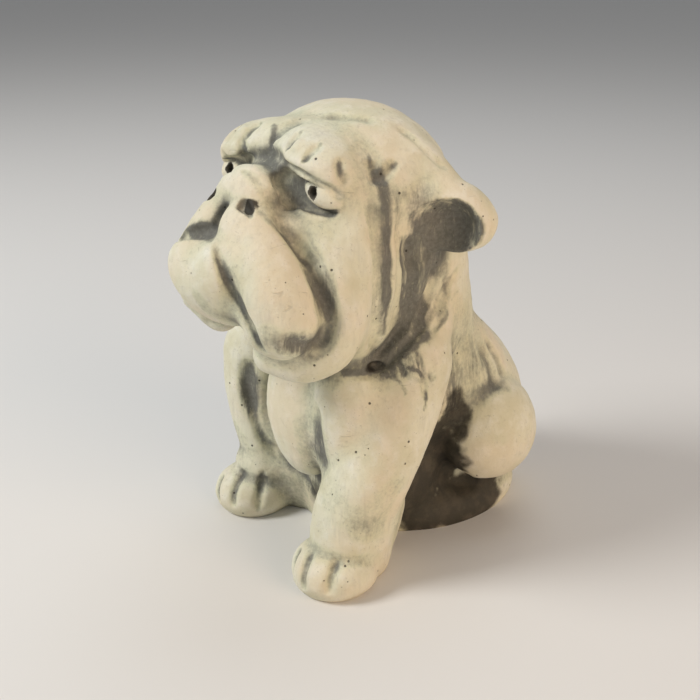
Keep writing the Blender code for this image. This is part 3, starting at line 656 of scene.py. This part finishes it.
def paint(o, form):
    """Writes how hollow and how raised the skin is at each point, and where the wash, the stain, the painted shade and
    the painted shadow lie.
    """
    v = points_of(o.data)
    n = np.empty(len(v) * 3, np.float32)
    o.data.vertex_normals.foreach_get("vector", n)
    n = n.reshape(-1, 3)

    def reach(r, band):
        return in_blocks(np.column_stack([v, n]), lambda q: form.value(q[:, :3] + q[:, 3:] * r, band))

    # near, mid and wide measure how closed in the skin is at each point: the occlusion that lays painted shade in the
    # hollows
    base = reach(0.0, 8.0)
    near = np.clip((2.2 - (reach(2.2, 8.0) - base)) / 2.2, -0.5, 1.5)
    mid = np.clip((5.5 - (reach(5.5, 12.0) - base)) / 5.5, -0.5, 1.5)
    side = np.cross(n, np.where(np.abs(n[:, 2:]) < 0.8, (0.0, 0.0, 1.0), (1.0, 0.0, 0.0)))
    side /= np.sqrt((side * side).sum(1))[:, None] + 1e-9
    other = np.cross(n, side)
    wide = np.zeros(len(v), np.float32)
    for turn in range(4):
        a = radians(45 + 90 * turn)
        way = n * 0.62 + (side * cos(a) + other * sin(a)) * 0.785
        q = np.column_stack([v, way]).astype(np.float32)
        far = in_blocks(q, lambda q: form.value(q[:, :3] + q[:, 3:] * 11.0, 14.0))
        wide += np.clip((6.8 - (far - base)) / 6.8, -0.3, 1.6) / 4
    raised = np.clip((reach(-3.0, 10.0) - base + 3.0) / 3.0, -0.5, 1.5)
    broad = np.clip((reach(-8.0, 16.0) - base + 8.0) / 8.0, -0.5, 1.5)
    ragged = 0.16 * lumps(v, 8.0, 5) + 0.08 * lumps(v, 3.0, 6)

    def patches(blots):
        most = np.zeros(len(v), np.float32)
        for at, centre, size, strength, full in blots:
            q = (v - at.at(centre)) @ at.turn / np.asarray(size, float)
            far = np.sqrt((q * q).sum(1)) + ragged
            most = np.maximum(most, strength * smooth(-far, -1.15, -full))
        return most

    def along(at, line, half, strength):
        """Wash and painted shade brushed along a line, soft and ragged at its sides."""
        c = at.at(curve(line, 4)[:, :3])
        near = np.nonzero(((v > c.min(0) - 2 * half) & (v < c.max(0) + 2 * half)).all(1))[0]
        best = np.full(len(near), 1e6)
        for a, b in zip(c[:-1], c[1:]):
            ab = b - a
            t = np.clip((v[near] - a) @ ab / (ab @ ab + 1e-9), 0, 1)
            off = v[near] - a - t[:, None] * ab
            best = np.minimum(best, (off * off).sum(1))
        most = np.zeros(len(v), np.float32)
        most[near] = strength * smooth(-np.sqrt(best) / half - 1.2 * ragged[near], -1.2, -0.35)
        return most

    film_and_shade, stain_and_shadow = patches(WASH_AND_SHADE_PATCHES), patches(STAINS_AND_SHADOWS)
    brushed_wash_and_shade = np.zeros(len(v), np.float32)
    for at, line, half, strength, both in BRUSHED_WASH_AND_SHADE:
        for s in (1, -1) if both else (1,):
            brushed_wash_and_shade = np.maximum(brushed_wash_and_shade, along(at, [(s * x, y, z) for x, y, z in line], half, strength))
    # the nostrils near-black where they are deep: painted shadow inside them
    nostril = patches([(HEAD, (s * 15.8, -26, -18.8), (4.2, 3.6, 4.3), 1.3, 0.85) for s in (1, -1)])
    stain_and_shadow = np.maximum(stain_and_shadow, nostril * smooth(near + mid, 0.05, 0.40))
    # the eyeballs and a ridge at the side of the head kept pale: wash and painted shade lifted off them
    lifted_wash_and_shade = patches([(HEAD, (side * 35, -2, -14.5), (11, 7, 6), 1.0, 0.9) for side in (1, -1)])
    lifted_wash_and_shade = np.maximum(lifted_wash_and_shade, 0.5 * np.maximum(*(along(HEAD, [(s * 55, 34, -20), (s * 50, 40, -44), (s * 52, 39, -62)], 2.6, 1.0) for s in (1, -1))))
    # the wash and painted shade patches grow darker where the skin is closed in
    film_and_shade *= 0.72 + 0.28 * smooth(wide + mid, 0.0, 0.45)
    # hollow sums the occlusion measures and the carved grooves, which are painted shade, with the wash patches and
    # brushed lines; it darkens the colour
    hollow = 0.55 * near + 0.6 * mid + 0.75 * wide + 0.62 * film_and_shade + 0.62 * smooth(form.carved(v), 0.7, 2.6) + brushed_wash_and_shade
    hollow *= 1 - 0.85 * lifted_wash_and_shade
    # ridge: how convex the skin is; it lightens the colour as rubbed wear and painted highlight
    ridge = 0.6 * raised + 0.7 * broad - 0.3 * hollow
    for s in (1, -1):
        q = (v - HEAD.at((s * 33.0, -2.0, -13.2))) @ HEAD.turn / (3.0, 11.0, 3.3)
        stain_and_shadow = np.maximum(stain_and_shadow, 1.2 * smooth(-np.sqrt((q * q).sum(1)), -1.1, -0.95))
    for name, value in (("hollow", hollow), ("ridge", ridge), ("stain_and_shadow", stain_and_shadow), ("film_and_shade", film_and_shade)):
        o.data.attributes.new(name, "FLOAT", "POINT").data.foreach_set("value", value.astype(np.float32))
    return dict(near=near, mid=mid, wide=wide, raised=raised, broad=broad, stain_and_shadow=stain_and_shadow)


# ------------------------------------------------------- the finish
class Nodes:
    """Short calls for building a material's node tree."""

    def __init__(self, material):
        material.use_nodes = True
        self.tree = material.node_tree
        self.tree.nodes.clear()

    def add(self, kind, **values):
        node = self.tree.nodes.new(kind)
        for name, value in values.items():
            if hasattr(node, name):
                setattr(node, name, value)
            else:
                self.put(node.inputs[name], value)
        return node

    def put(self, socket, value):
        if isinstance(value, bpy.types.NodeSocket):
            self.tree.links.new(value, socket)
        else:
            socket.default_value = value

    def attribute(self, name):
        return self.add("ShaderNodeAttribute", attribute_name=name).outputs["Fac"]

    def math(self, how, a, b=0.0, clamp=False):
        node = self.add("ShaderNodeMath", operation=how, use_clamp=clamp)
        self.put(node.inputs[0], a)
        self.put(node.inputs[1], b)
        return node.outputs[0]

    def ramp(self, value, low, high, to_low=0.0, to_high=1.0):
        node = self.add("ShaderNodeMapRange", interpolation_type="SMOOTHSTEP", clamp=True)
        for name, x in (("Value", value), ("From Min", low), ("From Max", high), ("To Min", to_low), ("To Max", to_high)):
            self.put(node.inputs[name], x)
        return node.outputs["Result"]

    def mix(self, fac, a, b, how="MIX"):
        node = self.add("ShaderNodeMix", data_type="RGBA", blend_type=how)
        self.put(node.inputs["Factor"], fac)
        for socket, value in zip([s for s in node.inputs if s.type == "RGBA"], (a, b)):
            self.put(socket, value)
        return [s for s in node.outputs if s.type == "RGBA"][0]

    def noise(self, where, size, detail=3.0, rough=0.55, warp=0.0):
        node = self.add("ShaderNodeTexNoise", Detail=detail, Roughness=rough, Distortion=warp)
        self.put(node.inputs["Vector"], where)
        self.put(node.inputs["Scale"], 1.0 / (size * MM))
        return node.outputs["Fac"]

    def stretched(self, where, turn, scale, shift=(0, 0, 0)):
        node = self.add("ShaderNodeMapping")
        self.put(node.inputs["Vector"], where)
        self.put(node.inputs["Rotation"], tuple(radians(a) for a in turn))
        self.put(node.inputs["Scale"], scale)
        self.put(node.inputs["Location"], shift)
        return node.outputs[0]

    def cells(self, where, size, what="F1", spread=1.0):
        node = self.add("ShaderNodeTexVoronoi", feature=what)
        self.put(node.inputs["Vector"], where)
        self.put(node.inputs["Scale"], 1.0 / (size * MM))
        self.put(node.inputs["Randomness"], spread)
        return node


def cast_stone():
    material = bpy.data.materials.new("aged_cast_stone_with_painted_shade")
    g = Nodes(material)
    where = g.add("ShaderNodeTexCoord").outputs["Object"]
    hollow, ridge, stain_and_shadow = (g.attribute(n) for n in ("hollow", "ridge", "stain_and_shadow"))

    # the cream body of the casting, cloudy at several sizes
    clouds = g.noise(where, 34, 4, 0.6)
    blotch = g.noise(where, 9, 4, 0.62)
    fine = g.noise(where, 2.0, 4, 0.65)
    grain = g.noise(where, 0.55, 2, 0.6)
    body = g.mix(g.ramp(clouds, 0.36, 0.66), (0.63, 0.60, 0.435, 1), (0.745, 0.725, 0.575, 1))
    body = g.mix(g.ramp(blotch, 0.42, 0.72, 0.0, 0.5), body, (0.80, 0.785, 0.70, 1))
    body = g.mix(g.ramp(fine, 0.55, 0.78, 0.0, 0.42), body, (0.40, 0.37, 0.27, 1))
    warm = g.noise(g.stretched(where, (0, 0, 0), (1, 1, 1), (0.31, 0.17, 0.05)), 38, 3, 0.5)
    body = g.mix(g.ramp(warm, 0.44, 0.62, 0.0, 0.42), body, (0.76, 0.64, 0.48, 1))
    mossy = g.math("MULTIPLY", g.ramp(hollow, 0.0, 0.30), g.ramp(blotch, 0.35, 0.65, 0.15, 0.50))
    body = g.mix(mossy, body, (0.60, 0.615, 0.395, 1))
    speck = g.ramp(g.noise(where, 1.1, 2, 0.7), 0.66, 0.72, 0.0, 0.55)
    body = g.mix(g.math("MULTIPLY", speck, g.ramp(blotch, 0.46, 0.60)), body, (0.20, 0.185, 0.14, 1))

    # grey antique wash in the hollows, with ragged, streaky edges; laid by the occlusion measure, it is painted shade
    # in the creases as well as wash
    streak = g.noise(g.stretched(where, (8, 12, 0), (1, 1, 0.13)), 2.6, 4, 0.6, 0.3)
    edge = g.math("ADD", g.math("MULTIPLY", g.math("SUBTRACT", blotch, 0.5), 0.55),
                  g.math("MULTIPLY", g.math("SUBTRACT", streak, 0.5), g.math("ADD", g.math("MULTIPLY", g.attribute("film_and_shade"), 1.7), 0.2)))
    edge = g.math("ADD", edge, g.math("MULTIPLY", g.math("SUBTRACT", fine, 0.5), 0.75))
    depth = g.math("ADD", hollow, edge)
    # the wash colour follows the occlusion measure: wash and painted shade together
    wash_and_shade = g.ramp(depth, 0.06, 1.15, 0.0, 0.90)
    film_and_shade = g.ramp(g.math("ADD", g.math("MULTIPLY", clouds, 0.7), g.math("MULTIPLY", streak, 0.5)), 0.58, 0.86, 0.0, 0.20)
    wash_and_shade = g.math("MAXIMUM", wash_and_shade, film_and_shade)
    scrape = g.noise(g.stretched(where, (20, -14, 0), (1, 1, 0.07)), 1.1, 2, 0.6, 0.4)
    wash_and_shade = g.math("MULTIPLY", wash_and_shade, g.ramp(scrape, 0.58, 0.76, 1.0, 0.76))
    tone = g.mix(g.ramp(fine, 0.35, 0.7), (0.080, 0.082, 0.079, 1), (0.142, 0.143, 0.136, 1))
    colour = g.mix(wash_and_shade, body, tone)

    # near-black stain, and painted shadow in the deep recesses
    black = g.ramp(g.math("ADD", stain_and_shadow, g.math("MULTIPLY", edge, 0.35)), 0.10, 0.85, 0.0, 0.96)
    colour = g.mix(black, colour, g.mix(g.ramp(blotch, 0.4, 0.7), (0.020, 0.017, 0.012, 1), (0.060, 0.050, 0.036, 1)))

    # raised edges rubbed pale: worn pale, and a painted highlight on the convex ridges
    proud = g.math("SUBTRACT", ridge, g.math("MULTIPLY", g.math("MAXIMUM", hollow, 0.0), 0.8))
    rub_and_highlight = g.ramp(g.math("ADD", proud, g.math("MULTIPLY", g.math("SUBTRACT", streak, 0.5), 1.2)), 0.25, 0.95, 0.0, 0.55)
    rub_and_highlight = g.math("MULTIPLY", rub_and_highlight, g.math("SUBTRACT", 1.0, black))
    colour = g.mix(rub_and_highlight, colour, (0.79, 0.77, 0.66, 1))

    # pinholes left by air in the mix; their near-black colour is painted shade inside the small holes
    hole = 0.0
    for size, low, high, share in ((7.5, 0.06, 0.11, 0.72), (3.4, 0.08, 0.15, 0.62)):
        pin = g.cells(where, size)
        one = g.ramp(pin.outputs["Distance"], low, high, 1.0, 0.0)
        some = g.ramp(g.add("ShaderNodeSeparateColor", Color=pin.outputs["Color"]).outputs[0], share, share + 0.02)
        one = g.math("MULTIPLY", one, some)
        if size < 5:
            one = g.math("MULTIPLY", one, g.ramp(g.noise(where, 15, 2), 0.58, 0.66))
        hole = g.math("MAXIMUM", hole, one)
    colour = g.mix(g.math("MULTIPLY", hole, 0.85), colour, (0.035, 0.030, 0.024, 1))

    # hairline scratches
    line = g.math("ABSOLUTE", g.math("SUBTRACT", g.noise(g.stretched(where, (35, 20, 50), (1, 0.10, 1)), 12, 1, 0.5), 0.5))
    where_cut = g.ramp(g.noise(where, 13, 2), 0.60, 0.66)
    scratch = g.math("MULTIPLY", g.ramp(line, 0.002, 0.010, 1.0, 0.0), where_cut)
    colour = g.mix(g.math("MULTIPLY", scratch, 0.22), colour, (0.20, 0.19, 0.15, 1))

    rough = g.ramp(g.math("ADD", blotch, g.math("MULTIPLY", wash_and_shade, 0.3)), 0.3, 1.0, 0.62, 0.90)

    height = g.math("ADD", g.math("MULTIPLY", grain, 0.16), g.math("MULTIPLY", fine, 0.50))
    height = g.math("ADD", height, g.math("MULTIPLY", blotch, 0.8))
    height = g.math("SUBTRACT", height, g.math("MULTIPLY", hole, 0.9))
    height = g.math("SUBTRACT", height, g.math("MULTIPLY", scratch, 0.25))
    bump = g.add("ShaderNodeBump", Strength=0.75, Distance=0.8 * MM, Height=height)

    shader = g.add("ShaderNodeBsdfPrincipled")
    g.put(shader.inputs["Base Color"], colour)
    g.put(shader.inputs["Roughness"], rough)
    g.put(shader.inputs["Normal"], bump.outputs["Normal"])
    shader.inputs["Specular IOR Level"].default_value = 0.35
    out = g.add("ShaderNodeOutputMaterial")
    g.put(out.inputs["Surface"], shader.outputs["BSDF"])
    return material


def plain(name, colour, rough):
    material = bpy.data.materials.new(name)
    g = Nodes(material)
    shader = g.add("ShaderNodeBsdfPrincipled")
    shader.inputs["Base Color"].default_value = colour
    shader.inputs["Roughness"].default_value = rough
    out = g.add("ShaderNodeOutputMaterial")
    g.put(out.inputs["Surface"], shader.outputs["BSDF"])
    return material


# ------------------------------------------------------- studio
def look_at(o, point):
    from mathutils import Vector
    o.rotation_euler = (Vector(point) - o.location).to_track_quat("-Z", "Y").to_euler()


def soft_light(name, place, size, power, colour):
    data = bpy.data.lights.new(name, "AREA")
    data.shape, data.size, data.energy, data.color = "DISK", size, power, colour
    o = bpy.data.objects.new(name, data)
    bpy.context.scene.collection.objects.link(o)
    o.location = place
    look_at(o, (0, 0, 0.12))
    return o


def studio(shift):
    bpy.ops.mesh.primitive_plane_add(size=12)
    floor = bpy.context.object
    floor.name = "studio_floor"
    floor.data.materials.append(plain("pale_floor", (0.74, 0.73, 0.71, 1), 0.9))
    floor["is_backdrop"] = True
    soft_light("key", (-0.55, -1.35, 1.35), 0.7, 25, (1.0, 0.985, 0.955))
    soft_light("fill", (1.35, 0.25, 0.55), 1.1, 11, (1.0, 0.72, 0.48))
    soft_light("top", (-0.35, 0.5, 1.6), 1.2, 5, (0.88, 0.94, 1.0))
    world = bpy.data.worlds.new("studio")
    bpy.context.scene.world = world
    world.use_nodes = True
    back = world.node_tree.nodes["Background"]
    back.inputs["Color"].default_value = (0.95, 0.97, 1.0, 1)
    back.inputs["Strength"].default_value = 0.27
    bpy.context.scene.view_settings.view_transform = "Standard"

    data = bpy.data.cameras.new("photo_camera")
    data.lens, data.sensor_width = 50.4, 36
    camera = bpy.data.objects.new("photo_camera", data)
    bpy.context.scene.collection.objects.link(camera)
    camera.location = ((413.9 + shift[0]) * MM, (-325.3 + shift[1]) * MM, 0.331)
    camera.rotation_euler = (radians(66.5), 0, radians(55))
    bpy.context.scene.camera = camera


def main():
    form = statue_form()
    statue = casting(form)
    paint(statue, form)
    p = points_of(statue.data) * MM
    middle = (p[:, :2].min(0) + p[:, :2].max(0)) / 2
    p[:, :2] -= middle
    statue.data.vertices.foreach_set("co", p.astype(np.float32).ravel())
    statue.data.update()
    statue.data.polygons.foreach_set("use_smooth", np.ones(len(statue.data.polygons), bool))
    statue.data.materials.clear()
    statue.data.materials.append(cast_stone())
    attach(statue, "root")
    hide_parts("bulldog_statue")
    studio(-middle / MM)
    print(len(statue.data.polygons), "triangles in the casting")


main()
{"cad": [list(map(float, c)) for c in cad_box], "visual": [list(map(float, c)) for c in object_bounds()]}
